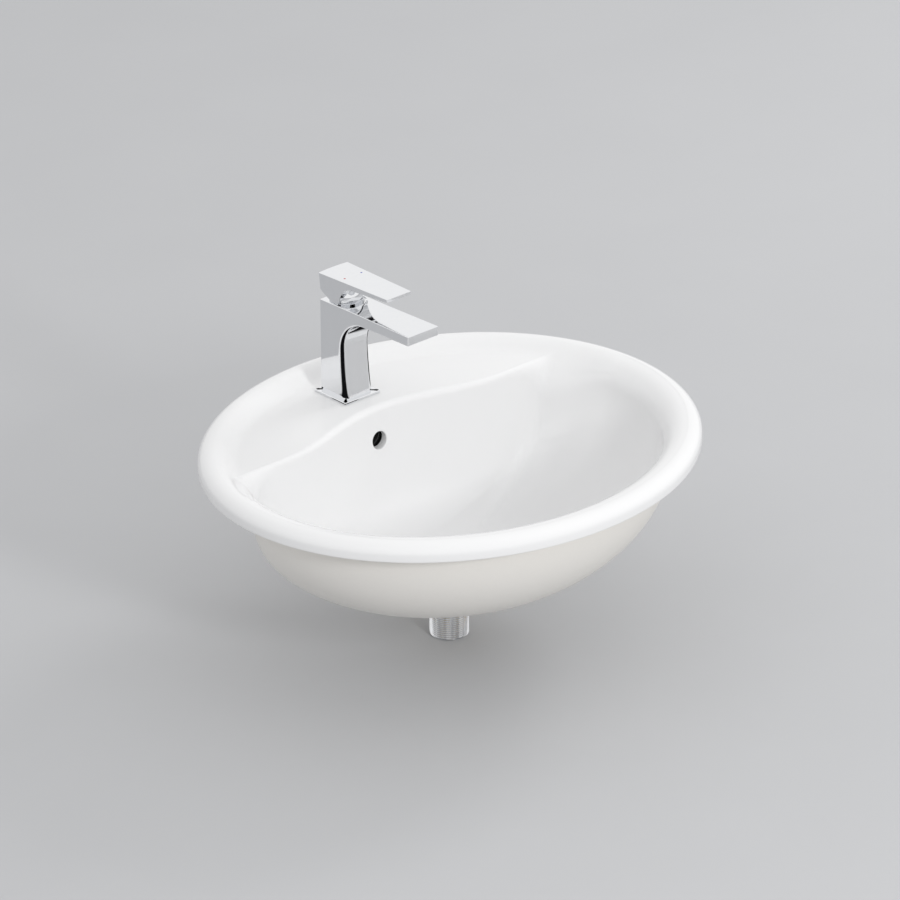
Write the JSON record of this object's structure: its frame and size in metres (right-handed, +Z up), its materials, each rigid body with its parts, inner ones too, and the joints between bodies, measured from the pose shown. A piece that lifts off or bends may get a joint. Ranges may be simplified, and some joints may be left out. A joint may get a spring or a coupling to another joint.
{
  "type": "inset basin with mixer tap",
  "caption": "Oval glazed inset basin with raised rim, bayed back ledge and overflow, carrying a chrome single-lever mixer that turns and lifts, and a push-open waste.",
  "frame": {"origin": "centre of the oval rim outline, in the plane where the rim lies on the worktop", "axes": "+X along the rim's long axis to the user's right, +Y back towards the mixer, +Z up"},
  "size_m": [0.55, 0.48, 0.362],
  "materials": {
    "china": "white glaze",
    "chrome": "polished",
    "rubber": "black",
    "white_plastic": "plain",
    "grey_plastic": "plain",
    "disc_ceramic": "ground",
    "brass": "machined",
    "steel": "zinc plated",
    "red_enamel": "enamel",
    "blue_enamel": "enamel"
  },
  "bodies": {
    "fixture": {"basin": "china", "tap_body": "chrome", "base_plate": "chrome", "base_seal": "rubber", "port_gasket": "rubber", "cartridge_base": "white_plastic", "fixed_disc": "disc_ceramic", "cartridge_housing": "white_plastic", "cartridge_nut": "brass", "dome_cover": "chrome", "aerator_washer": "rubber", "aerator_housing": "chrome", "aerator_insert": "grey_plastic", "fixing_stud": "steel", "fixing_gasket": "rubber", "fixing_washer": "steel", "fixing_nut": "brass", "waste_body": "chrome", "waste_seal": "rubber", "waste_gasket": "rubber", "waste_nut": "brass", "click_housing": "white_plastic", "click_cap": "white_plastic", "click_spring": "steel"},
    "turret": {"spindle_guide": "white_plastic", "pivot_pin": "steel"},
    "lever": {"lever_spindle": "brass", "lever_handle": "chrome", "handle_screw": "steel", "screw_cap": "grey_plastic", "hot_dot": "red_enamel", "cold_dot": "blue_enamel"},
    "disc": {"moving_disc": "disc_ceramic", "disc_carrier": "white_plastic"},
    "plug": {"plug_cap": "chrome", "plug_seal": "rubber", "plug_stem": "brass"}
  },
  "joints": [
    {"name": "lever_turn", "type": "hinge", "parent": "fixture", "child": "turret", "pos_m": [0, 0.162, 0.12], "axis": [0, 0, 1], "range_deg": [-45, 45]},
    {"name": "lever_lift", "type": "hinge", "parent": "turret", "child": "lever", "pos_m": [0, 0.162, 0.12], "axis": [-1, 0, 0], "range_deg": [0, 25]},
    {"name": "disc_slide", "type": "slide", "parent": "turret", "child": "disc", "axis": [0, -1, 0], "range_m": [0, 0.004]},
    {"name": "plug_lift", "type": "slide", "parent": "fixture", "child": "plug", "axis": [0, 0, 1], "range_m": [0, 0.009], "deforming": ["click_spring"]}
  ],
  "couplings": [
    {"joint": "disc_slide", "follows": "lever_lift", "m_per_rad": 0.0088}
  ]
}
